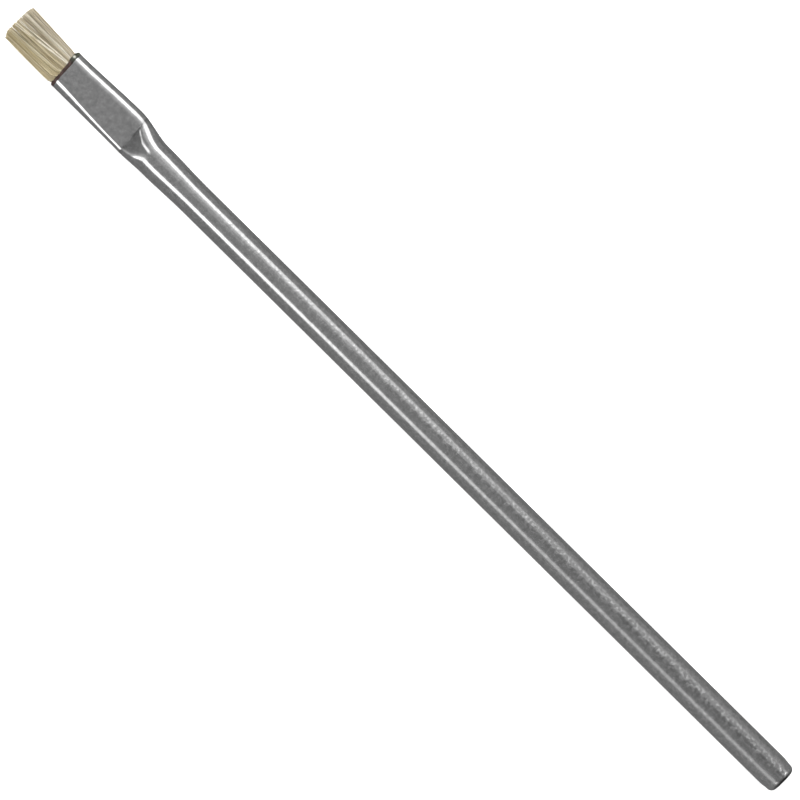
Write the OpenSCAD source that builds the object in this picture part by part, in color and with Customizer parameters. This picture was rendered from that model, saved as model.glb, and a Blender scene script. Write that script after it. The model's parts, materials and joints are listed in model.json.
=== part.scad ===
// Flat bench brush: one thin steel tube, pressed flat at its front end to hold a trimmed tuft of bristle.
// The tube lies along X with the tuft at the low end and the open tail at the high end.
// The two pressed flats are level, and the round handle rests on the surface z = 0.

/* [Brush] */
// Length over all, from the tips of the bristles to the tail
overall_l = 146.05; // [100:0.5:220]
// Length of bristle that stands out of the mouth
trim_l = 9.25; // [6:0.25:16]

/* [Tube] */
// Outer diameter of the round handle
tube_d = 4.7625; // [4.4:0.05:7]
// Thickness of the tube's wall
wall = 0.35; // [0.25:0.05:0.5]
// Length over which the tail is drawn in
tail_l = 2.2; // [1.2:0.1:5]
// How far the tail's outer surface is drawn in before its rounded edge
tail_draw = 0.13; // [0.02:0.01:0.3]
// Radius of the tail's rounded edge
tail_edge_r = 0.85; // [0.4:0.05:1]
// Width of the flat lip between that edge and the hole at the tail
tail_lip = 0.1; // [0.05:0.01:0.4]

/* [Flattened mouth] */
// Length of the flats, from the mouth to the crease
flat_l = 12.7; // [10:0.1:20]
// Thickness over the two flats
flat_t = 2.3; // [1.9:0.05:3]
// How much wider than the round tube the mouth is pressed
mouth_spread = 1.03; // [0.4:0.01:2]
// The same where the head is widest
head_spread = 1.36; // [0.6:0.01:2.4]
// Distance from the widest place to the crease, and to the place of the greatest lean before it
shoulder_l = 0.7; // [0.3:0.1:2]
// Sideways lean of the mouth
mouth_shift = 0.215; // [0:0.005:0.5]
// Sideways lean of the head where it leans most
head_shift = 0.355; // [0:0.005:0.6]
// Height that the two flats together take off the rounded sides at the mouth
mouth_cut = 0.66; // [0.3:0.02:1]
// The same at the crease
crease_cut = 0.98; // [0.5:0.02:1.2]
// Squareness of the rounded side away from the lean at the crease, where 2 is an ellipse
side_square = 3.4; // [2:0.1:4]
// Angle of the ramp that leads from the flats up to the round handle
ramp_angle = 22.5; // [18:0.5:30]
// Length over which the top of the ramp rounds over into the handle
brow_l = 2.9; // [1.5:0.1:4]
// Length of the facet that the press leaves on the ramp, from the crease to its point
facet_l = 3; // [2:0.1:4]
// Angle by which the mouth stands off square
mouth_skew = 3; // [0:0.5:6]
// The same for the crease
crease_skew = 4.5; // [0:0.5:8]
// How much wider than the round tube it still is just behind the ramp
swell = 0.38; // [0.1:0.02:0.8]
// Length over which that swelling dies out
swell_l = 7.8; // [6:0.1:14]

/* [Setting resin] */
// Depth of the resin plug in the mouth
resin_l = 6.5; // [4.5:0.25:9]
// How far the bead of resin stands out of the mouth
bead_l = 0.15; // [0.05:0.05:0.4]
// Thickness of resin between the bristles and the tube
glue_t = 0.1; // [0.05:0.01:0.15]
// Depth of the socket that holds the bristle roots
socket_l = 3; // [1:0.25:4]

/* [Bristles] */
// Thickness of a bristle at its root
bristle_d = 0.19; // [0.14:0.01:0.3]
// Thickness of a bristle at its tip
bristle_tip_d = 0.14; // [0.08:0.01:0.18]
// Gap between neighbouring bristles where they leave the resin
bristle_gap = 0.03; // [0.01:0.01:0.08]
// Distance from the mouth to the knee, where the bristles have swelled out past the tube's edge
knee_l = 0.8; // [0.5:0.05:1.5]
// How much wider the tuft grows on each side, from the mouth to the knee
knee_w = 0.2; // [0:0.05:0.4]
// Sideways lean of the tuft at the knee, measured from the mouth's
knee_lean = -0.23; // [-0.3:0.01:0.3]
// How much wider the tuft grows on each side, from the mouth to the tips
spread_w = 0.44; // [0.1:0.02:0.8]
// How much thicker the tuft grows above and below, from the mouth to the tips
spread_t = 0.16; // [0.05:0.01:0.4]
// Sideways lean of the tips, measured from the mouth's
tip_lean = 0.08; // [-0.3:0.01:0.4]
// Difference in length between the longest and the shortest bristles
uneven_l = 0.4; // [0.1:0.05:1]
// How far the corners of the trimmed end are rounded back
trim_round = 0.3; // [0:0.05:0.8]

/* [Hidden] */

// Points round each cross-section, and the sharpness of the edge between a flat and the rounded sides
ring_n = 72;
edge_power = 24;
// Step by which the flat facets of the head's wall stand clear of the handle's true round surfaces,
// outside and inside, so that the end of the round tube lies wholly within the end of the head
seam = 0.01;

tube_r = tube_d/2;
flat_h = flat_t/2;
mouth_w = tube_d + mouth_spread;
head_w = tube_d + head_spread;
swell_w = tube_d + swell;
mouth_crown = flat_t + mouth_cut;
crease_crown = flat_t + crease_cut;
tip_x = -overall_l/2;
tail_x = overall_l/2;
mouth_x = tip_x + trim_l;
crease_x = mouth_x + flat_l;
widest_x = crease_x - shoulder_l;
lean_x = widest_x - shoulder_l;
neck_x = crease_x + (tube_r - flat_h)/tan(ramp_angle) + brow_l/2;
brow_x = neck_x - brow_l;
point_x = crease_x + facet_l;
round_x = neck_x + swell_l;
resin_x = mouth_x + resin_l;
bead_x = mouth_x - bead_l;
socket_x = mouth_x + socket_l;

// A smooth rise from v0 to v1 while x goes from x0 to x1
function ease(u) = let (t = min(1, max(0, u))) t*t*(3 - 2*t);
function between(x, x0, x1, v0, v1) = v0 + (v1 - v0)*ease((x - x0)/(x1 - x0));

// The press left the head level above and below, with a ramp that rises from the crease and rounds over
// into the handle as a parabola
function ramp(x) =
    x < brow_x ? flat_h + max(0, x - crease_x)*tan(ramp_angle)
    : tube_r - tan(ramp_angle)*pow(max(0, neck_x - x), 2)/(2*brow_l);

// The cross-section at x is an ellipse, shifted sideways and cut off above and below: its half width,
// its half height before the cut, the height of the cut, its shift and its skew. Over the ramp the
// ellipse nears the cut as the square of the distance to the facet's point, which gives the facet
// straight sides, and past the point the cut leaves the ellipse whole
function half_width(x) =
    x < widest_x ? between(x, mouth_x, widest_x, mouth_w/2, head_w/2)
    : x < neck_x ? between(x, widest_x, neck_x, head_w/2, swell_w/2)
    : between(x, neck_x, round_x, swell_w/2, tube_r);
function half_crown(x) =
    x < crease_x ? between(x, mouth_x, crease_x, mouth_crown/2, crease_crown/2)
    : ramp(x) + crease_cut/2*pow(max(0, point_x - x)/facet_l, 2);
function cut_height(x) = ramp(x) + max(0, x - point_x)*tan(ramp_angle);
function shift(x) =
    x < lean_x ? between(x, mouth_x, lean_x, mouth_shift, head_shift)
    : between(x, lean_x, neck_x, head_shift, 0);
function skew(x, y) =
    let (angle = between(x, mouth_x, crease_x, mouth_skew, crease_skew))
    -y*tan(angle)*between(x, crease_x, neck_x, 1, 0);

// Cuts z off at h with a softly rounded edge, so that the ellipse's top comes to the lower of top and h
function cut_off(z, top, h) =
    z*min(1, h/top)*pow((1 + pow(top/h, edge_power))/(1 + pow(abs(z)/h, edge_power)), 1/edge_power);

// On the side away from the lean the ellipse is squarer, most of all at the crease
function square(x) =
    x < crease_x ? between(x, mouth_x, crease_x, 2, side_square)
    : between(x, crease_x, neck_x, side_square, 2);
function rounded(c, power) = sign(c)*pow(abs(c), 2/power);

// The ring of points at x, moved inwards by inset; at names where it stands if not at x
function ring(x, inset, at = undef) = [
    for (k = [0 : ring_n - 1])
        let (
            a = 360*k/ring_n,
            power = cos(a) < 0 ? square(x) : 2,
            top = half_crown(x) - inset,
            y = (half_width(x) - inset)*rounded(cos(a), power),
            z = cut_off(top*rounded(sin(a), power), top, cut_height(x) - inset)
        )
        [(is_undef(at) ? x : at) + skew(x, y), shift(x) + y, tube_r + z]
];

// Stations along the head: the resin's stretch, the rest of the flats, the ramp, its brow and the swelling.
// The inner skin is seen only down the tail, so past the resin it has fewer of them
function steps(x0, x1, n) = [for (i = [0 : n - 1]) x0 + (x1 - x0)*i/n];
function stations(flat_n, ramp_n, brow_n, swell_n) = concat(
    steps(mouth_x, resin_x, 4),
    steps(resin_x, crease_x, flat_n),
    steps(crease_x, brow_x, ramp_n),
    steps(brow_x, neck_x, brow_n),
    steps(neck_x, round_x, swell_n),
    [round_x]
);
resin_stations = concat(steps(mouth_x, resin_x, 4), [resin_x]);
outer_stations = stations(5, 4, 6, 4);
inner_stations = stations(2, 2, 3, 2);

function reverse(list) = [for (i = [len(list) - 1 : -1 : 0]) list[i]];

// A skin over a row of rings, with a cap on each end, or joined round into itself
module skin(rings, joined = false) {
    n = len(rings[0]);
    rows = len(rings);
    sides = [
        for (i = [0 : rows - (joined ? 1 : 2)], k = [0 : n - 1])
            let (near = i*n, far = (i + 1)%rows*n, next = (k + 1)%n)
            [far + k, far + next, near + next, near + k]
    ];
    caps = joined ? [] : [
        [for (k = [0 : n - 1]) k],
        [for (k = [n - 1 : -1 : 0]) (rows - 1)*n + k]
    ];
    polyhedron([for (r = rings) each r], concat(sides, caps), convexity = 6);
}

// The pressed head: an outer skin from the mouth to the handle, and an inner skin back again
module head() {
    skin(
        concat(
            [for (x = outer_stations) ring(x, -seam)],
            [for (x = reverse(inner_stations)) ring(x, wall + seam)]
        ),
        joined = true
    );
}

function arc(cx, cy, r, a0, a1, n) = [
    for (i = [0 : n]) let (a = a0 + (a1 - a0)*i/n) [cx + r*cos(a), cy + r*sin(a)]
];

// The round handle: its wall's outline, turned about the axis, with the tail drawn in and its edge rounded
module handle() {
    l = tail_x - round_x;
    edge_r = tube_r - tail_draw - tail_edge_r;
    inner_edge_r = max(0.02, tail_edge_r - wall);
    outline = concat(
        [[tube_r, 0], [tube_r, l - tail_l]],
        arc(edge_r, l - tail_edge_r, tail_edge_r, 0, 90, 8),
        [[edge_r - tail_lip, l], [edge_r - tail_lip, l - wall]],
        arc(edge_r, l - wall - inner_edge_r, inner_edge_r, 90, 0, 4),
        [[tube_r - wall, l - tail_l], [tube_r - wall, 0]]
    );
    translate([round_x, 0, tube_r]) rotate([0, 90, 0]) rotate_extrude($fn = ring_n) polygon(outline);
}

module handle_tube() {
    color([0.56, 0.57, 0.58]) {
        handle();
        head();
    }
}

// The resin fills the mouth against the tube's inner skin, with a socket for the bristle roots
module setting_resin() {
    color([0.27, 0.16, 0.13])
    skin(concat(
        [ring(mouth_x, wall + glue_t, socket_x), ring(mouth_x, wall + glue_t, bead_x)],
        [ring(mouth_x, wall + seam, bead_x)],
        [for (x = resin_stations) ring(x, wall + seam)]
    ));
}

// The bristles stand in a honeycomb: cell centres lie on a grid of half pitches across and half cell
// radii up, so that the corners which neighbouring cells share fall on the same grid points
bristle_pitch = bristle_d + bristle_gap;
cell_r = bristle_pitch/sqrt(3);
grid = [bristle_pitch/2, cell_r/2];
corner_steps = [[1, 1], [0, 2], [-1, 1], [-1, -1], [0, -2], [1, -1]];
neighbour_steps = [[1, 3], [-1, 3], [-2, 0], [-1, -3], [1, -3], [2, 0]];
socket_inset = wall + glue_t + cell_r;

// Whether a grid place holds a bristle: its whole cell has to lie inside the socket's outline
function holds(place) =
    let (y = place[0]*grid[0], z = abs(place[1]*grid[1]))
    z <= cut_height(mouth_x) - socket_inset &&
    pow(y/(half_width(mouth_x) - socket_inset), 2) + pow(z/(half_crown(mouth_x) - socket_inset), 2) <= 1;

rows = ceil(flat_h/(3*grid[1]));
cols = ceil(mouth_w/2/(2*grid[0]));
places = [
    for (row = [-rows : rows], col = [-cols : cols])
        let (place = [2*col + abs(row)%2, 3*row])
        if (holds(place)) place
];

// Each bristle's own chance values: how short it is, and how its tip strays across and up
uneven = rands(0, 1, len(places), 11);
stray_y = rands(-1, 1, len(places), 12);
stray_z = rands(-1, 1, len(places), 13);
stray = (bristle_pitch - bristle_tip_d)/2;
widen_knee = 1 + knee_w/(mouth_w/2 - socket_inset);
widen_w = 1 + spread_w/(mouth_w/2 - socket_inset);
widen_t = 1 + spread_t/(flat_h - socket_inset);

function cell_corner(place, k, x) =
    let (y = (place[0] + corner_steps[k][0])*grid[0], z = (place[1] + corner_steps[k][1])*grid[1])
    [x + skew(mouth_x, y), mouth_shift + y, tube_r + z];

function hexagon(centre, r) = [for (k = [0 : 5]) centre + [0, r*cos(30 + 60*k), r*sin(30 + 60*k)]];

function tip_centre(i) =
    let (
        y = places[i][0]*grid[0]*widen_w + stray*stray_y[i],
        z = places[i][1]*grid[1]*widen_t + stray*stray_z[i],
        back = uneven_l*(uneven[i] - min(uneven)) + trim_round*pow(y/(mouth_w/2), 2)
    )
    [tip_x + back, mouth_shift + tip_lean + y, tube_r + z];

function knee_centre(i) =
    let (y = places[i][0]*grid[0], z = places[i][1]*grid[1])
    [mouth_x - knee_l, mouth_shift + knee_lean + y*widen_knee, tube_r + z];

function root_centre(i) =
    let (y = places[i][0]*grid[0], z = places[i][1]*grid[1])
    [bead_x + skew(mouth_x, y), mouth_shift + y, tube_r + z];

// One solid tuft: each cell is packed against its neighbours inside the socket, and beyond the resin
// a free bristle rises from its middle. A cell has a wall only on the sides where it has no neighbour
module bristles() {
    points = [
        for (i = [0 : len(places) - 1]) each concat(
            [for (k = [0 : 5]) cell_corner(places[i], k, socket_x)],
            [for (k = [0 : 5]) cell_corner(places[i], k, bead_x)],
            hexagon(root_centre(i), bristle_d/2),
            hexagon(knee_centre(i), bristle_d/2),
            hexagon(tip_centre(i), bristle_tip_d/2)
        )
    ];
    faces = [
        for (i = [0 : len(places) - 1])
            let (deep = 30*i, front = deep + 6, root = deep + 12, knee = deep + 18, tip = deep + 24)
            each concat(
                [[for (k = [5 : -1 : 0]) deep + k], [for (k = [0 : 5]) tip + k]],
                [for (k = [0 : 5]) let (m = (k + 1)%6) [front + k, front + m, root + m, root + k]],
                [for (k = [0 : 5]) let (m = (k + 1)%6) [root + k, root + m, knee + m, knee + k]],
                [for (k = [0 : 5]) let (m = (k + 1)%6) [knee + k, knee + m, tip + m, tip + k]],
                [
                    for (k = [0 : 5])
                        let (m = (k + 1)%6)
                        if (!holds(places[i] + neighbour_steps[k]))
                            [deep + k, deep + m, front + m, front + k]
                ]
            )
    ];
    color([0.78, 0.74, 0.6]) polyhedron(points, faces, convexity = 20);
}

handle_tube();
setting_resin();
bristles();
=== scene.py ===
# %% [markdown]
# # A flat bench brush
#
# The brush has three physical pieces: a thin zinc-plated steel tube whose front end is pressed flat, the
# dark resin that was poured into that flat mouth, and a trimmed tuft of stiff cream bristle. Its looks
# hang on long, soft highlights that run down the tube and split round the pressed head, so this lesson
# spends its effort on smooth surfaces worked out from formulas, on one metal finish, and on a tuft of
# several hundred separate hairs.
#
# Lengths are given in millimetres, as a maker would, and turned into Blender's metres at the last step.

# %% Load the fixed frame
import json

import bpy
import numpy as np
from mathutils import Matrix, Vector


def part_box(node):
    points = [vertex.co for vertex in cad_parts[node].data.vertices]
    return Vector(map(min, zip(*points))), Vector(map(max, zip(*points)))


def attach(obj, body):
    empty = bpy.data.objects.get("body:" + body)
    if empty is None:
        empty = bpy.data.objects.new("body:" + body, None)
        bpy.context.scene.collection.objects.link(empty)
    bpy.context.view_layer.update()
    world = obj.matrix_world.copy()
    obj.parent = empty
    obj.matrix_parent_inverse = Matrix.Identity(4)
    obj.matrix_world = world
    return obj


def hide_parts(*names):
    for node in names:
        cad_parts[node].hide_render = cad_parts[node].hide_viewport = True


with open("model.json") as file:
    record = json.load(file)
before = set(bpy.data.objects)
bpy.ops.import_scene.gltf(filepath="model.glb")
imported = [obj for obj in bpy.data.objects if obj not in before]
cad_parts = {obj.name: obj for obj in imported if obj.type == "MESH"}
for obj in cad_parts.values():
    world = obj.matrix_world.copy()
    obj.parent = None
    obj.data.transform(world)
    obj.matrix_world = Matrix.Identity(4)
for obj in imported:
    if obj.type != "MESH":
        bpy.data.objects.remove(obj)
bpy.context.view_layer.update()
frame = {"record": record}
MM = 0.001

# %% [markdown]
# ## The view
#
# The brush lies on its handle and is seen from straight above. The handle keeps the same width from end
# to end in the picture, so the view is taken from far off through a long lens. The whole frame is only
# 108 mm wide, and the brush runs across it from corner to corner, a third of a degree off the diagonal.

# %% Camera
PICTURE_WIDTH = 108.34
DISTANCE = 1000.0
TURN = np.radians(44.685)
AIM = (-0.18, 0.21)
SENSOR = 36.0

handle_mount = frame["record"]["mounts"][0]
AXIS_Z = handle_mount["pos_m"][2] / MM

camera_data = bpy.data.cameras.new("camera")
camera_data.sensor_width = SENSOR
camera_data.lens = SENSOR * DISTANCE / PICTURE_WIDTH
camera_data.clip_end = 10
camera = bpy.data.objects.new("camera", camera_data)
camera.location = Vector((*AIM, AXIS_Z + DISTANCE)) * MM
camera.rotation_euler = (0, 0, TURN)
bpy.context.scene.collection.objects.link(camera)
bpy.context.scene.camera = camera
print(f"lens {camera_data.lens:.0f} mm, from {DISTANCE:.0f} mm above the handle's axis")


# %% [markdown]
# ## Small tools
#
# Nearly everything below is an array of points joined into a sheet, and nearly every shape and every
# brightness goes smoothly from one value to another. So a smooth step and a sheet builder come first,
# and after them short names for the shader nodes that are needed again and again.


# %% Smooth steps
def ease(u):
    """A smooth step: 0 below 0, 1 above 1, and three u squared less two u cubed between them."""
    u = np.clip(u, 0, 1)
    return u * u * (3 - 2 * u)


def between(x, x0, x1, v0, v1):
    """A smooth rise from v0 to v1 while x goes from x0 to x1."""
    return v0 + (v1 - v0) * ease((x - x0) / (x1 - x0))


def window(v, low, high, soft):
    """1 from low to high and 0 outside, with each edge eased over a width of soft."""
    return ease((v - low) / soft + 0.5) * ease((high - v) / soft + 0.5)


# %% Sheets
def plain_mesh(name, points, quads, triangles=()):
    """A smooth-shaded object from points in millimetres and faces of four and three corners."""
    mesh = bpy.data.meshes.new(name)
    faces = np.asarray(quads).tolist() + np.asarray(triangles).tolist()
    mesh.from_pydata((np.asarray(points) * MM).tolist(), [], faces)
    mesh.shade_smooth()
    made = bpy.data.objects.new(name, mesh)
    bpy.context.scene.collection.objects.link(made)
    return made


def sheet_quads(rows, columns, close_rows, close_columns):
    """One quad between each four neighbours of a grid of points. A closed direction joins its last line
    to its first."""
    i = np.arange(rows if close_rows else rows - 1)[:, None]
    j = np.arange(columns if close_columns else columns - 1)[None, :]
    i2, j2 = (i + 1) % rows, (j + 1) % columns
    corners = [i * columns + j, i * columns + j2, i2 * columns + j2, i2 * columns + j]
    return np.stack(corners, axis=-1).reshape(-1, 4)


def paint(thing, name, values):
    """Keeps one number per point with the mesh, for a material to read."""
    attribute = thing.data.attributes.new(name, "FLOAT", "POINT")
    attribute.data.foreach_set("value", np.asarray(values, dtype=float).ravel())


def report(piece):
    """Prints a piece's size in millimetres and its count of triangles."""
    co = np.empty(len(piece.data.vertices) * 3)
    piece.data.vertices.foreach_get("co", co)
    co = co.reshape(-1, 3) / MM
    piece.data.calc_loop_triangles()
    low, high = co.min(axis=0).round(2), co.max(axis=0).round(2)
    print(piece.name, "from", low, "to", high, len(piece.data.loop_triangles), "triangles")


# %% Shader helpers
def new_material(name):
    """An empty node material, with its Principled shader already joined to the output."""
    material = bpy.data.materials.new(name)
    material.use_nodes = True
    tree = material.node_tree
    return material, tree, tree.nodes["Principled BSDF"]


def give(tree, socket, given):
    """Joins a socket to another one, or sets it to a plain value."""
    if isinstance(given, bpy.types.NodeSocket):
        tree.links.new(given, socket)
    else:
        socket.default_value = given


def add_node(tree, kind, settings=(), **inputs):
    """A node of that kind. Settings are its own properties, and inputs are sockets to join or values."""
    made = tree.nodes.new(kind)
    for name, value in dict(settings).items():
        setattr(made, name, value)
    for name, value in inputs.items():
        give(tree, made.inputs[name.replace("_", " ")], value)
    return made


def sum_of(tree, value, factor, addend=0.0):
    """The socket value times factor, plus addend, which are sockets or numbers."""
    made = add_node(tree, "ShaderNodeMath", {"operation": "MULTIPLY_ADD"})
    for socket, given in zip(made.inputs, (value, factor, addend)):
        give(tree, socket, given)
    return made.outputs["Value"]


def painted(tree, name):
    """The number that paint has kept with the mesh under that name."""
    return add_node(tree, "ShaderNodeAttribute", {"attribute_name": name}).outputs["Fac"]


def noise(tree, place, **inputs):
    """A soft noise from 0 to 1 over a place, with its scale, detail and roughness as inputs."""
    return add_node(tree, "ShaderNodeTexNoise", Vector=place, **inputs).outputs["Fac"]


def mapped(tree, value, source, target=(0.0, 1.0)):
    """The value, held to the source range and carried over to the target range."""
    made = add_node(
        tree, "ShaderNodeMapRange", Value=value,
        From_Min=source[0], From_Max=source[1], To_Min=target[0], To_Max=target[1],
    )
    return made.outputs["Result"]


def mixed_colour(tree, share, first, second):
    """A colour between first and second by share. Each colour is a socket or four numbers."""
    made = add_node(tree, "ShaderNodeMix", {"data_type": "RGBA"})
    for index, given in {0: share, 6: first, 7: second}.items():
        give(tree, made.inputs[index], given)
    return made.outputs[2]


def colour_ramp(tree, value, stops):
    """A colour ramp over value, with stops of (position, grey or colour)."""
    ramp = add_node(tree, "ShaderNodeValToRGB", Fac=value)
    elements = ramp.color_ramp.elements
    while len(elements) < len(stops):
        elements.new(0.5)
    for element, (position, colour) in zip(elements, stops):
        element.position = position
        element.color = (*colour, 1) if isinstance(colour, tuple) else (colour, colour, colour, 1)
    return ramp.outputs["Color"]


def millimetres(tree, scale=(1, 1, 1)):
    """Object coordinates in millimetres, which may be stretched along each axis."""
    place = add_node(tree, "ShaderNodeTexCoord").outputs["Object"]
    return add_node(tree, "ShaderNodeMapping", Vector=place, Scale=[s / MM for s in scale]).outputs["Vector"]


print("helpers ready")

# %% [markdown]
# ## The studio
#
# Polished metal shows nothing but its surroundings, so lighting it means placing what it mirrors. A
# photographer would build a tent of white cloth over the brush and light it from outside; here the tent
# is half a cylinder round the brush, and its glow is painted on it by formula. A round tube mirrors each
# place of the tent as one thin line, whose distance from the middle, as a share of the tube's radius, is
# the sine of half its angle.
#
# Two long bright strips at about 50 degrees to either side give the handle its white lines. They are
# brightest over the head and fade towards the tail, but light up once more past its end, for the
# turned-in edge of the tail to mirror. Beyond that the room is dark, which draws a dark band round the
# tail. Between the strips is a soft grey that is brightest over the head, and outside them one that
# stays nearly even. The upper strip reaches further past the tuft than the lower one, and a small lamp
# hangs there too, which the ramp behind the flats mirrors along its upper edge. Each strip, lamp and veil
# of light is one line of a table. The floor is white to the eye, but the metal doesn't mirror it.

# %% Light tent
TENT_R = 500.0
TENT_ROWS, TENT_COLUMNS = 101, 155
tent_angle = np.linspace(-100, 100, TENT_ROWS)[:, None]
tent_x = np.linspace(-900, 1410, TENT_COLUMNS)[None, :]


def along(*stops):
    """A value that changes along the brush, straight between stops of (x, value)."""
    return np.interp(tent_x, *zip(*stops))


# The grey outside the strips and the one between them, and in degrees where they pass into each other
TOP_HALF, TOP_SOFT = 42, 40
side_grey = along((-300, 0.25), (-100, 0.29), (150, 0.29), (600, 0.25))
side_grey = side_grey + 0.05 * window(tent_angle, 60, 120, 20)
top_grey = along(
    (-500, 0.22), (-420, 0.25), (-300, 0.36), (-120, 0.38), (-50, 0.345), (0, 0.31), (70, 0.23), (600, 0.2),
)
glow = side_grey + (top_grey - side_grey) * window(tent_angle, -TOP_HALF, TOP_HALF, TOP_SOFT)

# The middle lines of the two bright strips, in degrees from straight above
upper_line = along((-500, 50), (-200, 52), (-50, 54), (-20, 57), (30, 57), (75, 59))
lower_line = along((-225, -42), (-140, -47), (-65, -50), (75, -48))

# Each band: the line it follows, where 0 is straight above, its two edges from that line and their
# softness in degrees, and its brightness in stops of (x, value)
BANDS = {
    "upper strip": (upper_line, -10, 10, 9, [
        (-60, 2.2), (-50, 1.4), (-39, 1.2), (-23, 0.8), (5, 0.6), (32, 0.27), (59, 0.22), (290, 0.25),
        (330, 2.6), (440, 2.6), (500, 0.2),
    ]),
    "shoulder of the upper strip": (upper_line, -24, -8, 12, [(-200, 0.3), (-50, 0.4), (70, 0.2), (250, 0)]),
    "veil inside the upper strip": (0, 8, 38, 12, [
        (-500, 0.02), (-350, 0.05), (-200, 0.15), (-60, 0.22), (-45, 0.16), (-30, 0.06), (-10, 0),
    ]),
    "lower strip": (lower_line, -10, 10, 9, [
        (-225, 0.32), (-140, 2.6), (-60, 2.6), (-23, 1.4), (5, 0.93), (32, 0.5), (59, 0.32), (75, 0.42),
        (290, 0.42), (330, 1.8), (440, 1.8), (500, 0.2),
    ]),
    "small lamp past the tuft": (0, 0, 9, 8, [(-900, 0.5), (-520, 0.4), (-460, 2.0), (-260, 2.2), (-200, 0)]),
    "second line near the tail": (0, 29, 37, 6, [(-30, 0), (20, 0.22), (75, 0.24)]),
    "veil inside the lower strip": (0, -40, -18, 10, [(-500, 0.1), (-230, 0.22), (-150, 0)]),
}
for line, low, high, soft, stops in BANDS.values():
    glow = glow + along(*stops) * window(tent_angle - line, low, high, soft)

a, x = np.broadcast_arrays(np.radians(tent_angle), tent_x)
tent_points = np.stack([x, TENT_R * np.sin(a), AXIS_Z + TENT_R * np.cos(a)], axis=-1)
tent_quads = sheet_quads(TENT_ROWS, TENT_COLUMNS, False, False)
tent = plain_mesh("light_tent", tent_points.reshape(-1, 3), tent_quads)
paint(tent, "glow", glow)
tent_material, tree, shader = new_material("light_tent")
tree.nodes.remove(shader)
lit = add_node(tree, "ShaderNodeEmission", Strength=painted(tree, "glow"))
give(tree, tree.nodes["Material Output"].inputs["Surface"], lit.outputs["Emission"])
tent.data.materials.append(tent_material)
tent.visible_camera = False
tent.visible_shadow = False
tent_material.cycles.emission_sampling = "NONE"
print("on the tent:", ", ".join(BANDS))
print(f"it glows from {glow.min():.2f} to {glow.max():.2f}")

# %% Surroundings and floor
BACKDROP = 0.93
LOW_GREY, TAIL_GREY = 0.26, 0.06
# From where on, as the X of a direction, the room darkens towards the tail, and where it is fully dark
DARKENS, DARK = 0.72, 0.88

world = bpy.data.worlds.new("studio")
bpy.context.scene.world = world
world.use_nodes = True
tree = world.node_tree
tree.nodes.clear()
direction = add_node(tree, "ShaderNodeTexCoord").outputs["Generated"]
towards_tail = add_node(tree, "ShaderNodeSeparateXYZ", Vector=direction).outputs["X"]
seen = add_node(tree, "ShaderNodeLightPath").outputs["Is Camera Ray"]
room = colour_ramp(tree, towards_tail, [(DARKENS, LOW_GREY), (DARK, TAIL_GREY)])
sky = add_node(tree, "ShaderNodeBackground", Color=room)
wall = add_node(tree, "ShaderNodeBackground", Color=(BACKDROP, BACKDROP, BACKDROP, 1))
either = add_node(tree, "ShaderNodeMixShader", Fac=seen)
give(tree, either.inputs[1], sky.outputs["Background"])
give(tree, either.inputs[2], wall.outputs["Background"])
add_node(tree, "ShaderNodeOutputWorld", Surface=either.outputs["Shader"])
bpy.context.scene.view_settings.view_transform = "Standard"

FLOOR_HALF = 3000.0
square = np.array([(-1, -1, 0), (1, -1, 0), (1, 1, 0), (-1, 1, 0)])
floor = plain_mesh("floor", square * FLOOR_HALF, [(0, 1, 2, 3)])
floor_material, tree, shader = new_material("floor")
FLOOR_LOOK = {
    "Base Color": (0.85, 0.85, 0.85, 1),
    "Roughness": 0.9,
    "Specular IOR Level": 0.0,
    "Emission Color": (1, 1, 1, 1),
    "Emission Strength": 0.8,
}
for socket, value in FLOOR_LOOK.items():
    give(tree, shader.inputs[socket], value)
floor.data.materials.append(floor_material)
floor.visible_glossy = False

FILL_PLACE, FILL_TARGET = (-150, 160, 450), (-68, 0, 2)
fill_data = bpy.data.lights.new("fill", "AREA")
fill_data.shape = "SQUARE"
fill_data.size = 0.35
fill_data.energy = 1.7
fill = bpy.data.objects.new("fill", fill_data)
fill.location = Vector(FILL_PLACE) * MM
fill.rotation_euler = (Vector(FILL_TARGET) * MM - fill.location).to_track_quat("-Z", "Y").to_euler()
fill.visible_glossy = False
bpy.context.scene.collection.objects.link(fill)
print("floor, backdrop and one fill lamp over the tuft")

# %% [markdown]
# ## The tube
#
# One seamless tube is both handle and ferrule. A press closed its front end between two level dies and
# left a bevel where the dies end, so four different shapes flow into each other: a flat mouth, a crease,
# a ramp like a pointed roof, and the round handle. Modelling that with subdivision surfaces would need
# many control edges, and its creases would wander. A cross-section is easier to state: at every place
# along the tube it is a round or squarish oval, cut off above and below at the height of the dies. Past
# the crease the cut leans a little to one side, as the dies did, so the two slopes of the roof catch
# different lights. The whole tube is then one closed strip, the outline of its thin wall, carried round
# the tube's axis. A number kept at each of its points is painted shade, which darkens the crease and the
# edge of the tail.

# %% Sizes of the pressed tube
TUBE_R = handle_mount["dims"]["r_mm"]
ROUND_X = handle_mount["pos_m"][0] / MM - handle_mount["dims"]["length_mm"] / 2
TAIL_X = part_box("handle_tube")[1].x / MM
WALL = 0.35

# Lengths along the tube, and the height and slope that the dies left
FLAT_L, FLAT_H = 12.7, 1.15
SHOULDER_L = 0.7
RAMP_RISE, KINK_SOFT = np.tan(np.radians(22.5)), 0.06
BROW_L, SWELL_L = 2.9, 7.8
FACET_L = 3.0
UPPER_FACET_L = 0.7 * FACET_L

# Half widths, and how far the head leans to one side and is skewed
MOUTH_A, HEAD_A, SWELL_A = TUBE_R + 0.515, TUBE_R + 0.68, TUBE_R + 0.19
MOUTH_SHIFT, HEAD_SHIFT = 0.215, 0.355
MOUTH_SKEW, CREASE_SKEW = np.tan(np.radians(3)), np.tan(np.radians(4.5))

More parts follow.
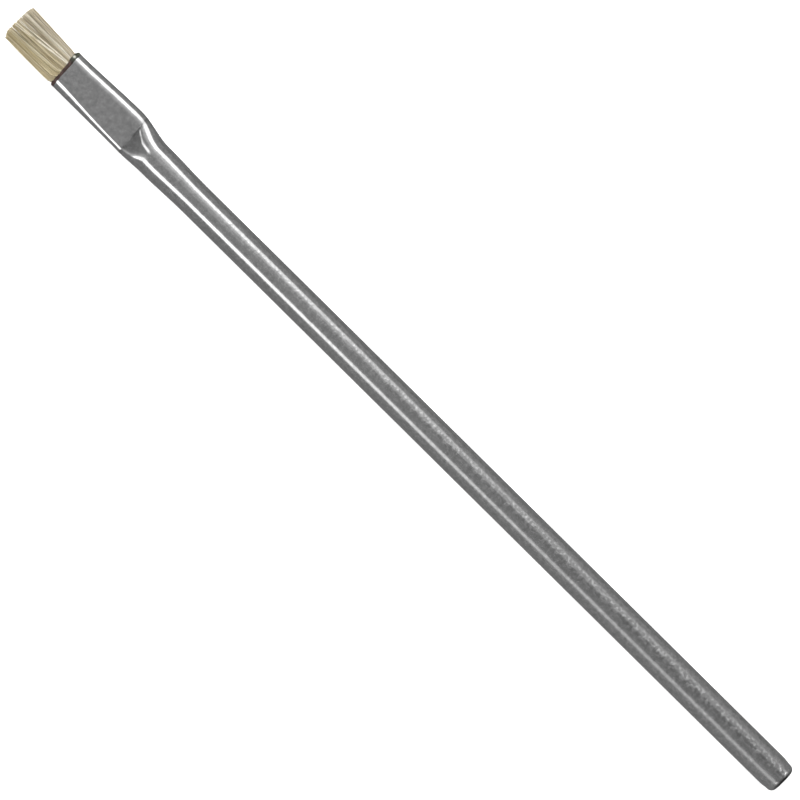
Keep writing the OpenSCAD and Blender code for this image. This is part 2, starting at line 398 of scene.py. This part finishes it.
# The section, whose lower side is that of negative y: the powers of an oval and of the squarest lower side
OVAL, LOWER_SQUARE = 2.0, 3.6
# How far its crown would stand above the cut, at the mouth and on either side of the crease
MOUTH_SPARE, LOWER_SPARE, UPPER_SPARE = 0.26, 0.13, 0.27
# How hard the edges of the cut are, on the lower and the upper side, and how near the top it is levelled
FLATS_EDGE, RAMP_EDGE = (48, 30), (36, 24)
TOP_POWER = 12
# How far the cut rolls past the crease, and over what length it comes to that on either side
RAMP_ROLL, LOWER_ROLL_L, UPPER_ROLL_L = 0.08, 1.8, 0.4

# Places along the axis
NECK_X = ROUND_X - SWELL_L
EVEN_X = NECK_X - 1
BROW_X = NECK_X - BROW_L
CREASE_X = NECK_X - BROW_L / 2 - (TUBE_R - FLAT_H) / RAMP_RISE
WIDEST_X = CREASE_X - SHOULDER_L
LEAN_X = WIDEST_X - SHOULDER_L
POINT_X = CREASE_X + FACET_L
MOUTH_X = CREASE_X - FLAT_L
print(f"mouth at {MOUTH_X:.2f}, crease at {CREASE_X:.2f}, brow from {BROW_X:.2f} to {NECK_X:.2f}")
print(f"round from {ROUND_X:.2f}, tail's end at {TAIL_X:.2f}")


# %% Cross-section of the tube
def half_width(x):
    """Half the width of the section: widest shortly before the crease, then narrowing to the handle."""
    return np.select(
        [x < WIDEST_X, x < NECK_X],
        [between(x, MOUTH_X, WIDEST_X, MOUTH_A, HEAD_A), between(x, WIDEST_X, NECK_X, HEAD_A, SWELL_A)],
        between(x, NECK_X, ROUND_X, SWELL_A, TUBE_R),
    )


def ramp(x):
    """Height that the press left: level over the flats, then rising along a slope whose kink is rounded
    as the square root of its distance squared plus a small constant, and last a parabola that comes
    level at the handle."""
    past = x - CREASE_X
    slope = FLAT_H + RAMP_RISE * (past + np.sqrt(past**2 + KINK_SOFT**2)) / 2
    brow = TUBE_R - RAMP_RISE * np.clip(NECK_X - x, 0, None) ** 2 / (2 * BROW_L)
    return np.where(x < BROW_X, slope, brow)


def cut_height(x):
    """Height of the cut: the ramp, and past the facet's point twice as steep, where it cuts nothing off."""
    return ramp(x) + RAMP_RISE * np.clip(x - POINT_X, 0, None)


def half_crown(x, crease_spare, facet_l):
    """Half the height that the section would have without the cut. It stands a spare height above the
    ramp, which past the crease shrinks as the square of the distance to the facet's point, and that
    gives the facet its straight sides."""
    to_point = np.clip(1 - (x - CREASE_X) / facet_l, 0, 1)
    flats_spare = between(x, MOUTH_X, CREASE_X, MOUTH_SPARE, crease_spare)
    return ramp(x) + np.where(x < CREASE_X, flats_spare, crease_spare * to_point**2)


def lower_power(x):
    """The power that says how square the section's lower side is: an oval at the mouth and from shortly
    before the handle on, and squarest at the crease."""
    return np.where(
        x < CREASE_X,
        between(x, MOUTH_X, CREASE_X, OVAL, LOWER_SQUARE),
        between(x, CREASE_X, EVEN_X, LOWER_SQUARE, OVAL),
    )


def sideways(x):
    """How far the section leans to one side."""
    return np.where(
        x < LEAN_X,
        between(x, MOUTH_X, LEAN_X, MOUTH_SHIFT, HEAD_SHIFT),
        between(x, LEAN_X, NECK_X, HEAD_SHIFT, 0.0),
    )


def tube_surface(x, inset, columns):
    """Points round the tube at each place x, moved inwards by inset. Y is the half width times the
    cosine of the angle, and z the half crown times its sine, both raised to two over the side's power.
    Z is then cut off softly: it is divided by the edge-th root of one plus the edge-th power of its share
    of the cut, and close to the top it is scaled so that the top comes to the lower of crown and cut.
    Past the crease the cut rolls a little, rising with y, until the facet has ended. Last, x is skewed by
    y over the head, because the press stood a little off square."""
    angle = np.linspace(0, 2 * np.pi, columns, endpoint=False)[None, :]
    x, inset = np.asarray(x)[:, None], np.asarray(inset)[:, None]
    lower = np.cos(angle) < 0
    power = 2 / np.where(lower, lower_power(x), OVAL)
    y = (half_width(x) - inset) * np.sign(np.cos(angle)) * np.abs(np.cos(angle)) ** power

    lower_crown = half_crown(x, LOWER_SPARE, FACET_L)
    upper_crown = half_crown(x, UPPER_SPARE, UPPER_FACET_L)
    crown = np.where(lower, lower_crown, upper_crown) - inset
    z = crown * np.sign(np.sin(angle)) * np.abs(np.sin(angle)) ** power

    roll_l = np.where(lower, LOWER_ROLL_L, UPPER_ROLL_L)
    roll = between(x, CREASE_X - 0.1, CREASE_X + roll_l, 0, RAMP_ROLL)
    roll = between(x, CREASE_X + LOWER_ROLL_L, EVEN_X, roll, 0)
    cut = cut_height(x) + roll * y - inset

    flats_edge, ramp_edge = np.where(lower, *FLATS_EDGE), np.where(lower, *RAMP_EDGE)
    edge = between(x, CREASE_X - 0.3, CREASE_X + 0.5, flats_edge, ramp_edge)
    level = np.minimum(1, cut / crown) * (1 + (crown / cut) ** edge) ** (1 / edge)
    soft_cut = (1 + (np.abs(z) / cut) ** edge) ** (1 / edge)
    z = z * (1 + (level - 1) * (z / crown) ** TOP_POWER) / soft_cut

    unskewed = ease((x - CREASE_X) / (NECK_X - CREASE_X))
    skew = between(x, MOUTH_X, CREASE_X, MOUTH_SKEW, CREASE_SKEW) * (1 - unskewed)
    return np.stack([x - y * skew, sideways(x) + y, AXIS_Z + z], axis=-1)


# %% Outline of the tube's wall
# The tail is drawn in a little over its length, then turned in round an edge to a lip
TAIL_L, TAIL_DRAW, TAIL_EDGE, TAIL_LIP = 2.2, 0.13, 0.85, 0.1
RIM = 0.05
# Points lie close for this far to either side of the crease, and evenly from there to just past the neck
NEAR_L, PAST_NECK = 1.2, 0.8


def quarter(x, inset, r, start, turns, count=7):
    """An arc in (x, inset) about a centre, from start over turns, both counted in quarter circles."""
    a = np.linspace(start, start + turns, count) * np.pi / 2
    return np.stack([x + r * np.cos(a), inset + r * np.sin(a)], axis=1)


def straight(x, inset):
    """Places x of the wall that all lie at the same inset."""
    return np.stack([x, np.full_like(x, inset)], axis=1)


def outer_stations():
    """Places along the outside: evenly spaced on each stretch, but close together at the crease, where
    their distance from it is a quarter of an even count plus three quarters of its cube."""
    u = np.linspace(-1, 1, 61)
    near = CREASE_X + NEAR_L * (0.25 * u + 0.75 * u**3)
    flats = np.linspace(MOUTH_X + RIM, CREASE_X - NEAR_L, 30)[:-1]
    slope = np.linspace(CREASE_X + NEAR_L, NECK_X + PAST_NECK, 40)[1:]
    swelling = np.linspace(NECK_X + PAST_NECK, ROUND_X, 24)[1:]
    handle = np.linspace(ROUND_X, TAIL_X - TAIL_L, 12)[1:]
    return np.concatenate([flats, near, slope, swelling, handle])


drawn_x, edge_x = TAIL_X - TAIL_L, TAIL_X - TAIL_EDGE
edge_inset = TAIL_DRAW + TAIL_EDGE
lip_inset = edge_inset + TAIL_LIP - RIM
drawn = np.linspace(drawn_x, edge_x, 8)[1:-1]
outline = np.concatenate([
    quarter(MOUTH_X + RIM, RIM, RIM, 2, 1),
    straight(outer_stations(), 0.0),
    np.stack([drawn, between(drawn, drawn_x, edge_x, 0, TAIL_DRAW)], axis=1),
    quarter(edge_x, edge_inset, TAIL_EDGE, -1, 1, 14),
    quarter(TAIL_X - RIM, lip_inset, RIM, 0, 1, 5),
    quarter(TAIL_X - WALL + RIM, lip_inset, RIM, 1, 1, 5),
    quarter(edge_x, edge_inset, TAIL_EDGE - WALL, 0, -1, 6),
    straight(np.linspace(drawn_x, ROUND_X, 6), WALL),
    straight(np.linspace(ROUND_X - 1, MOUTH_X + 2 * RIM, 60), WALL),
    quarter(MOUTH_X + RIM, WALL - RIM, RIM, 1, 1),
])
# Where two stretches meet, the place they share is kept once, as a strip of no width has no normal
outline = outline[np.linalg.norm(outline - np.roll(outline, 1, axis=0), axis=1) > 1e-6]
print(len(outline), "points in the wall's outline")

# %% Tube
COLUMNS = 320
# How deep the painted shade is in the crease and how far it fades before and after it, then how deep it is at
# the tail's edge and where it begins and is full
CREASE_PAINTED_SHADE, CREASE_BEFORE, CREASE_AFTER = 0.42, 0.12, 0.5
TAIL_DARK, TAIL_DARKENS, TAIL_FULL = 0.55, 0.42, 0.3
tube_points = tube_surface(outline[:, 0], outline[:, 1], COLUMNS)
tube = plain_mesh("tube_skin", tube_points.reshape(-1, 3), sheet_quads(len(outline), COLUMNS, True, True))

# Painted shade: the crease is darkened, fading quickly over the flats and slowly over the ramp, and so is the
# tail's edge
place = np.repeat(outline[:, :1], COLUMNS, axis=1)
past = place - CREASE_X
fade = np.where(past < 0, np.exp(-((past / CREASE_BEFORE) ** 2)), np.exp(-past.clip(0) / CREASE_AFTER))
tail_painted_shade = between(place, TAIL_X - TAIL_DARKENS, TAIL_X - TAIL_FULL, 0, TAIL_DARK)
paint(tube, "shade", 1 - CREASE_PAINTED_SHADE * fade - tail_painted_shade)
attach(tube, "root")
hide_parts("handle_tube")
report(tube)

# %% [markdown]
# ## Zinc plating
#
# Bright zinc is a grey metal with a satin shine. Close to the head it is smooth and mirrors the lamps as
# clean white lines; towards the tail the plating is coarser, like very fine sandpaper, and shows specks.
# They lie in a lane beside the tube's highest line, where a faint line of the tent is mirrored, and come
# from one noise in real millimetres: where it is high the metal stands up by less than a fiftieth of a
# millimetre and its grey is painted brighter, a painted highlight for that mirrored line broken up by the
# rough plating, while the grey between the specks is painted a little darker. Both grow along the handle.
# A second noise makes the roughness, the grey and the surface wander a little everywhere.


# %% Zinc material
LANE_Y, LANE_HALF, LANE_FADED = 0.62, 0.4, 0.7
SPECK_HEIGHT, GRAIN_HEIGHT = 0.015, 0.006
# How much brighter the specks are painted as a highlight, and how much darker the grey between them is
# painted
SPECK_PAINTED_HIGHLIGHT, LANE_DARK = 0.5, 0.18
PLAIN_GREY, GRAIN_GREY = 0.35, 0.40
PLAIN_ROUGH, GRAIN_ROUGH, TAIL_ROUGH = 0.07, 0.12, 0.1


def zinc():
    """Grey metal with raised specks that grow along the handle in a lane, where their grey is painted
    brighter as a highlight, and a faint grain.
    """
    material, tree, shader = new_material("zinc_plated_steel")
    in_mm = millimetres(tree)
    place = add_node(tree, "ShaderNodeSeparateXYZ", Vector=in_mm).outputs
    along_handle = mapped(tree, place["X"], (NECK_X, TAIL_X), (0.1, 1.0))
    from_lane = sum_of(tree, place["Y"], 1.0, -LANE_Y)
    off_lane = add_node(tree, "ShaderNodeMath", {"operation": "ABSOLUTE"}, Value=from_lane).outputs["Value"]
    lane = mapped(tree, off_lane, (LANE_FADED, LANE_HALF), (0.15, 1.0))
    specks = colour_ramp(tree, noise(tree, in_mm, Scale=2.0, Detail=0.0), [(0.46, 0.0), (0.68, 1.0)])
    grain = noise(tree, in_mm, Scale=1.6, Detail=3.0, Roughness=0.6)

    # Painted highlight: specks lighten the grey in the lane where the plating is rougher and a faint lamp
    # line is mirrored, and the ground between them is painted a little darker
    coarseness_and_highlight = sum_of(tree, along_handle, lane)
    ground = sum_of(tree, coarseness_and_highlight, -LANE_DARK, 1.0)
    bright = sum_of(tree, specks, sum_of(tree, coarseness_and_highlight, SPECK_PAINTED_HIGHLIGHT), ground)
    grained = sum_of(tree, grain, GRAIN_GREY, PLAIN_GREY)
    # The grey is multiplied by the painted shade of the crease and of the tail's edge
    tone = sum_of(tree, painted(tree, "shade"), sum_of(tree, bright, grained))
    grey = add_node(tree, "ShaderNodeCombineColor", Red=tone, Green=tone, Blue=tone).outputs["Color"]
    give(tree, shader.inputs["Base Color"], grey)
    rough = sum_of(tree, grain, GRAIN_ROUGH, PLAIN_ROUGH)
    give(tree, shader.inputs["Roughness"], sum_of(tree, along_handle, TAIL_ROUGH, rough))

    fine = add_node(tree, "ShaderNodeBump", Height=grain, Distance=GRAIN_HEIGHT * MM).outputs["Normal"]
    height = sum_of(tree, coarseness_and_highlight, SPECK_HEIGHT * MM)
    bump = add_node(tree, "ShaderNodeBump", Height=specks, Distance=height, Normal=fine)
    give(tree, shader.inputs["Normal"], bump.outputs["Normal"])
    give(tree, shader.inputs["Metallic"], 1.0)
    return material


tube.data.materials.append(zinc())
print("zinc finish on the tube")

# %% [markdown]
# ## Setting resin
#
# The tuft was pushed into the mouth and set there with a dark red-brown resin. A little of it was pushed
# out again and dried as a bead, which hides the cut edge of the tube and the first of the bristles. It
# is wider at one corner, where a drop collected that is more olive than red, with a pale spot painted on
# it as a glint.
# The bead is a small lump: the mouth's own section, pushed out along a curve, with a soft ripple.

# %% Resin bead
BEAD_DEEP, BEAD_SKIN, BEAD_STAND = 6.5, 0.02, 0.36
BEAD_COLUMNS, BULGE_ROWS = 240, 14
BULGE_IN, CLOSING_IN = 0.5, 1.0
# The ripple's waves: height in mm, how many run round the bead, and where each starts
RIPPLES = [(0.03, 5, 1), (0.02, 12, 0), (0.012, 27, 2)]
DROP_STAND, DROP_FROM, DROP_TO, DROP_SOFT = 0.24, 1.6, 3.0, 0.5
# Where on the drop a pale spot is painted as a glint, in millimetres
PAINTED_GLINT_AT = (MOUTH_X - 0.36, 2.2, AXIS_Z + 0.85)


def bead_surface(columns):
    """The bead fills the tube's inner skin, turns over the cut edge as a thin smear on the outside, and
    bulges in front of the mouth along a quarter of a squarish oval that ends on the bristles. How far it
    stands out ripples as a sum of sines of the angle, and grows by a drop on one side. A last ring closes
    it in the middle of the tuft."""
    # Up the bore, out to the wall, and back over its outside: (x from the mouth, inset)
    bore = WALL + 0.004
    back = [[BEAD_DEEP, bore], [0.1, bore], [0.1, BEAD_SKIN], [0.14, -BEAD_SKIN], [0.04, -BEAD_SKIN]]
    x, inset = np.transpose(back)
    u = np.linspace(0, 1, BULGE_ROWS)
    bulge_inset = BULGE_IN - (BULGE_IN + BEAD_SKIN) * np.cos(u * np.pi / 2) ** 0.6
    x = MOUTH_X + np.concatenate([x, np.zeros(BULGE_ROWS + 1)])
    points = tube_surface(x, np.concatenate([inset, bulge_inset, [CLOSING_IN]]), columns)

    angle = np.linspace(0, 2 * np.pi, columns, endpoint=False)
    ripple = sum(height * np.sin(waves * angle + start) for height, waves, start in RIPPLES)
    smear, bulge = slice(len(back) - 2, len(back)), slice(len(back), len(back) + BULGE_ROWS)
    drop = DROP_STAND * window(points[len(back) - 1, :, 1], DROP_FROM, DROP_TO, DROP_SOFT)
    stand = BEAD_STAND + ripple + drop
    points[smear, :, 0] += 0.6 * ripple
    points[bulge, :, 0] -= stand * np.sin(u[:, None] * np.pi / 2) ** 0.7
    points[-1, :, 0] -= stand * 0.9
    return points


def closed_grid(name, points):
    """A grid closed round its columns, with a single point closing each end."""
    rows, columns = points.shape[:2]
    first, last = rows * columns, rows * columns + 1
    j = np.arange(columns)
    j2 = (j + 1) % columns
    start = np.stack([np.full_like(j, first), j2, j], axis=-1)
    end = np.stack([np.full_like(j, last), (rows - 1) * columns + j, (rows - 1) * columns + j2], axis=-1)
    every = np.concatenate([points.reshape(-1, 3), [points[0].mean(axis=0), points[-1].mean(axis=0)]])
    return plain_mesh(name, every, sheet_quads(rows, columns, False, True), np.concatenate([start, end]))


bead = closed_grid("resin_bead", bead_surface(BEAD_COLUMNS)[::-1])
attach(bead, "root")
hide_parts("setting_resin")
report(bead)


# %% Resin material
def resin():
    """Dark red-brown and glossy, turning olive where the drop collected, with a pale spot painted on it as a
    glint.
    """
    material, tree, shader = new_material("dark_resin")
    in_mm = millimetres(tree)
    mottle = noise(tree, in_mm, Scale=2.2, Detail=3.0)
    y = add_node(tree, "ShaderNodeSeparateXYZ", Vector=in_mm).outputs["Y"]
    drop = mapped(tree, y, (1.2, 1.8))
    red = colour_ramp(tree, mottle, [(0.35, (0.032, 0.018, 0.015)), (0.7, (0.085, 0.048, 0.042))])
    olive = colour_ramp(tree, mottle, [(0.35, (0.018, 0.020, 0.013)), (0.7, (0.085, 0.09, 0.065))])
    off_painted_glint = add_node(tree, "ShaderNodeVectorMath", {"operation": "DISTANCE"})
    give(tree, off_painted_glint.inputs[0], in_mm)
    give(tree, off_painted_glint.inputs[1], PAINTED_GLINT_AT)
    # A painted glint: within a small round spot on the drop the colour turns pale
    painted_glint = mapped(tree, off_painted_glint.outputs["Value"], (0.3, 0.12))
    colour = mixed_colour(tree, painted_glint, mixed_colour(tree, drop, red, olive), (0.75, 0.75, 0.64, 1))
    give(tree, shader.inputs["Base Color"], colour)
    bump = add_node(tree, "ShaderNodeBump", Height=mottle, Strength=0.6, Distance=0.05 * MM)
    give(tree, shader.inputs["Normal"], bump.outputs["Normal"])
    give(tree, shader.inputs["Roughness"], 0.18)
    return material


bead.data.materials.append(resin())
print("resin finish on the bead")

# %% [markdown]
# ## Bristles
#
# The tuft is a few hundred stiff hairs, packed in rows at the mouth and trimmed square. A particle
# system would hide them from the export, so each hair is a real, closed, tapered tube of a few dozen
# faces. All of them are worked out at once: an array of roots, an array of tips and an array of bends
# give every point of every hair.
#
# Hairs on a real brush never lie evenly. Neighbours stick together in locks that lean the same way and
# have nearly the same tone; a pale lock crosses the middle slantwise, two dark ones run beside it, and a
# few strays cross over.

# %% Bristle roots
rng = np.random.default_rng(7)
HAIR_PITCH, JITTER = 0.112, 0.02
HALF_ROWS, HALF_PLACES = 9, 28
# The oval of roots: half its width, half its height, and the height where it is cut off
OVAL_A, OVAL_B, OVAL_CUT = 2.46, 1.04, 0.72
TIP_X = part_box("bristles")[0].x / MM
ROOT_X = MOUTH_X + 0.3


def packed_roots():
    """Places of a honeycomb, where every other row is moved over by half the pitch, that lie inside the
    mouth's oval. With each comes its share of its row's half width, from -1 at one side to 1."""
    rows, places = np.arange(-HALF_ROWS, HALF_ROWS + 1), np.arange(-HALF_PLACES, HALF_PLACES + 1)
    r, c = np.meshgrid(rows, places, indexing="ij")
    y = HAIR_PITCH * (c + 0.5 * (r % 2))
    z = HAIR_PITCH * r * np.sqrt(3) / 2
    row_half = OVAL_A * np.sqrt(1 - (z / OVAL_B) ** 2)
    inside = (np.abs(y) <= row_half) & (np.abs(z) <= OVAL_CUT)
    y, z, row_half = y[inside], z[inside], row_half[inside]
    jitter_y, jitter_z = rng.uniform(-JITTER, JITTER, (2, y.size))
    return y + jitter_y, z + jitter_z, y / row_half


root_y, root_z, q = packed_roots()
hairs = root_y.size
print(hairs, "bristles")

# %% Bristle knees, tips and tones
# Painted locks: root and tip across the tuft in mm from the handle's axis, half width, tone and hold
LOCKS = [
    (1.12, -0.18, 0.19, 1.0, 0.95),
    (1.34, 1.12, 0.09, 0.12, 0.9),
    (-0.15, -0.66, 0.10, 0.08, 0.9),
    (0.60, -0.45, 0.14, 0.42, 0.8),
    (1.70, 1.55, 0.20, 0.88, 0.6),
    (-0.62, -1.30, 0.15, 0.72, 0.8),
    (0.20, -0.40, 0.12, 0.60, 0.6),
    (-1.25, -1.75, 0.35, 0.30, 0.7),
    (2.20, 2.26, 0.30, 0.42, 0.6),
    (-2.05, -2.20, 0.35, 0.36, 0.7),
]

# Hairs swell out past the tube's edge to a knee, then run to the tip, fanning a little at both sides and
# leaning to one side in the middle
KNEE_SHIFT, KNEE_HALF = -0.01, 2.60
TIP_SHIFT, TIP_HALF, LEAN = 0.30, 2.82, 0.5
LOCK_SOFT, LOCK_SPREAD, PLAIN_TONE = 0.12, 1.05, 0.45
knee_y = KNEE_SHIFT + KNEE_HALF * q
tip_y = TIP_SHIFT + TIP_HALF * q - LEAN * (1 - q**2)
tone = np.full(hairs, PLAIN_TONE)
for lock_root, lock_tip, half, lock_tone, hold in LOCKS:
    pull = hold * window(knee_y, lock_root - half, lock_root + half, LOCK_SOFT)
    tip_y = tip_y + pull * (lock_tip + (knee_y - lock_root) * LOCK_SPREAD - tip_y)
    tone = tone + pull * (lock_tone - tone)

# No two hairs are alike: one in seventeen strays from its lock, and the tuft thickens towards its tips
STRAY_SHARE, TIP_LOW, TIP_HIGH, THICKENS = 0.06, -2.50, 3.06, 1.22
stray = rng.uniform(0, 1, hairs) < STRAY_SHARE
tip_y = tip_y + rng.normal(0, 0.07, hairs) + stray * rng.normal(0, 0.35, hairs)
tip_y = np.clip(tip_y, TIP_LOW, TIP_HIGH)
tip_z = THICKENS * root_z + rng.normal(0, 0.05, hairs)
tone = np.clip(tone + rng.normal(0, 0.11, hairs), 0, 1)
greyness = np.clip(between(knee_y, -0.2, 1.6, 0.2, 0.95) + rng.normal(0, 0.15, hairs), 0, 1)

# The trim is nearly straight across, with its lower corner cut back and its upper corner rounded. Hairs
# fall short of it by a little at random, and those of the outer rows by more
LOWER_FROM, LOWER_TO, LOWER_CUT = -1.45, -2.6, 0.50
UPPER_FROM, UPPER_L, UPPER_CUT = 1.3, 1.9, 0.35
REACH, MOST_SHORT, OUTER_Z, OUTER_SHORT = 0.16, 0.45, 0.6, 0.25
rounded = UPPER_CUT * np.clip((tip_y - UPPER_FROM) / UPPER_L, 0, 1) ** 2
trim = between(tip_y, LOWER_FROM, LOWER_TO, 0, LOWER_CUT) + rounded
short = rng.gamma(1.5, 0.06, hairs).clip(0, MOST_SHORT)
tip_x = TIP_X - REACH + trim + short + OUTER_SHORT * (np.abs(root_z) > OUTER_Z)
bend_y = rng.normal(0, 0.035, hairs)
bend_z = rng.normal(0, 0.03, hairs)
thick = rng.uniform(0.052, 0.068, hairs)


# %% Bristle mesh
HAIR_RINGS, HAIR_SIDES = 8, 6
KNEE_AT, TAPER, TIP_CAP = 0.14, 0.35, 0.03


def hair_points(rings, sides):
    """Each hair's middle line runs from the root out to the knee, easing sideways, and on to the tip, with
    a bend of four u (1 - u) over its length, where u goes from 0 to 1. A ring of points stands round it
    in the plane across the tuft, and the radius falls as one less the taper times u."""
    u = np.concatenate([[0, 0.07, 0.12], np.linspace(0.18, 1, rings - 3)])[None, :]
    knee = ease(u / KNEE_AT)
    x = ROOT_X + (tip_x[:, None] - ROOT_X) * u
    y = MOUTH_SHIFT + root_y[:, None] + (knee_y - MOUTH_SHIFT - root_y)[:, None] * knee
    y = y + (tip_y - knee_y)[:, None] * u + bend_y[:, None] * 4 * u * (1 - u)
    z = AXIS_Z + root_z[:, None] + (tip_z - root_z)[:, None] * u + bend_z[:, None] * 4 * u * (1 - u)
    middle = np.stack([x, y, z], axis=-1)
    a = np.linspace(0, 2 * np.pi, sides, endpoint=False)
    around = np.stack([np.zeros(sides), np.cos(a), np.sin(a)], axis=1)
    radius = thick[:, None] * (1 - TAPER * u)
    return middle, middle[:, :, None, :] + radius[:, :, None, None] * around[None, None, :, :]


def hair_faces(rings, sides):
    """Quads along every hair, and triangles from its first and last rings to its two end points."""
    begin = np.arange(hairs)[:, None] * (rings * sides + 2)
    quads = begin[:, :, None] + sheet_quads(rings, sides, False, True)[None, :, ::-1]
    j = np.arange(sides)[None, :]
    j2 = (j + 1) % sides
    first, last, top = begin + rings * sides, begin + rings * sides + 1, (rings - 1) * sides
    roots = np.stack([first + 0 * j, begin + j, begin + j2], axis=-1)
    tips = np.stack([last + 0 * j, begin + top + j2, begin + top + j], axis=-1)
    return quads.reshape(-1, 4), np.concatenate([roots.reshape(-1, 3), tips.reshape(-1, 3)])


middle, walls = hair_points(HAIR_RINGS, HAIR_SIDES)
ends = np.stack([middle[:, 0], middle[:, -1] - [TIP_CAP, 0, 0]], axis=1)
hair_cloud = np.concatenate([walls.reshape(hairs, -1, 3), ends], axis=1)
tuft = plain_mesh("bristle_tuft", hair_cloud.reshape(-1, 3), *hair_faces(HAIR_RINGS, HAIR_SIDES))
paint(tuft, "tone", np.repeat(tone, hair_cloud.shape[1]))
paint(tuft, "greyness", np.repeat(greyness, hair_cloud.shape[1]))
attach(tuft, "root")
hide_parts("bristles")
report(tuft)


# %% Bristle material
def bristle():
    """Khaki to cream by each hair's own tone, and beige instead where it is greyer, with long streaks."""
    material, tree, shader = new_material("bristle_hair")
    streak = noise(tree, millimetres(tree, (0.25, 2, 2)), Scale=1.0, Detail=3.0)
    mixed_tone = sum_of(tree, streak, 0.5, sum_of(tree, painted(tree, "tone"), 1.0, -0.25))
    warm = [(0.0, (0.25, 0.18, 0.09)), (0.45, (0.53, 0.45, 0.26)), (1.0, (0.90, 0.85, 0.68))]
    grey = [(0.0, (0.30, 0.25, 0.17)), (0.45, (0.63, 0.56, 0.43)), (1.0, (0.94, 0.90, 0.79))]
    khaki, beige = (colour_ramp(tree, mixed_tone, stops) for stops in (warm, grey))
    colour = mixed_colour(tree, painted(tree, "greyness"), khaki, beige)
    give(tree, shader.inputs["Base Color"], colour)
    give(tree, shader.inputs["Roughness"], 0.45)
    give(tree, shader.inputs["Specular IOR Level"], 0.4)
    return material


tuft.data.materials.append(bristle())
print("bristle finish on the tuft")
